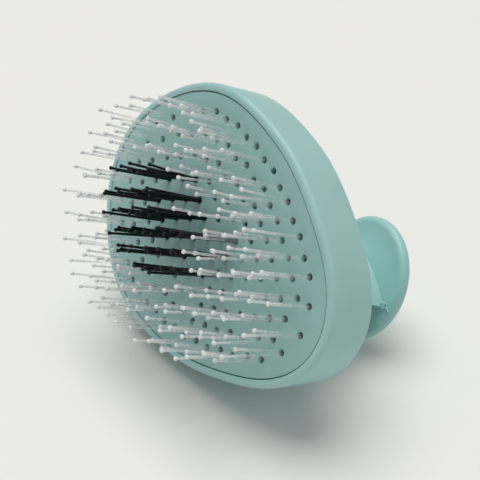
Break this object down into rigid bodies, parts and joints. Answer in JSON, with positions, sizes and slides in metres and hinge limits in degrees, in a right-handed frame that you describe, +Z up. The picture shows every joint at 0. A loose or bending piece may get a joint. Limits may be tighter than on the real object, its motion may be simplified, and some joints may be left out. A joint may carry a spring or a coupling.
{
  "type": "scalp massage brush",
  "caption": "Egg-shaped scalp massage brush with round-tipped pins through a perforated plate and a mushroom grip, lying on its side.",
  "frame": {"origin": "on the floor below the middle of the bounding box", "axes": "+Z up; the brush lies on its side at rest, its pins point along -Y and 22 degrees up, and the narrow end of its egg outline points along +X and a little down"},
  "size_m": [0.098, 0.0864, 0.0767],
  "materials": {
    "mint_plastic": "satin",
    "mint_face_plastic": "satin",
    "white_nylon": "satin",
    "black_nylon": "satin",
    "grey_foam": "matte",
    "grey_plastic": "matte",
    "steel": "satin"
  },
  "bodies": {
    "brush_body": {"rim": "mint_plastic", "face_plate": "mint_face_plastic", "foam_pad": "grey_foam", "backing_plate": "grey_plastic", "backing_screw_1": "steel", "backing_screw_2": "steel", "backing_screw_3": "steel", "backing_screw_4": "steel", "backing_screw_5": "steel", "backing_screw_6": "steel", "back_cover": "mint_plastic", "grip": "mint_plastic", "knob_cap": "mint_plastic", "knob_screw": "steel", "knob_washer": "steel", "knob_nut": "steel"},
    "rear_field": {"rear_pins": "white_nylon"},
    "front_field": {"front_pins": "white_nylon"},
    "centre_field": {"centre_pins": "black_nylon"}
  },
  "joints": [
    {"name": "rear_pins_press", "type": "slide", "parent": "brush_body", "child": "rear_field", "axis": [0, 0.9239, -0.3827], "range_m": [0, 0.002], "stiffness_N_per_m": 300},
    {"name": "front_pins_press", "type": "slide", "parent": "brush_body", "child": "front_field", "axis": [0, 0.9239, -0.3827], "range_m": [0, 0.002], "stiffness_N_per_m": 300},
    {"name": "centre_pins_press", "type": "slide", "parent": "brush_body", "child": "centre_field", "axis": [0, 0.9239, -0.3827], "range_m": [0, 0.002], "stiffness_N_per_m": 300}
  ]
}
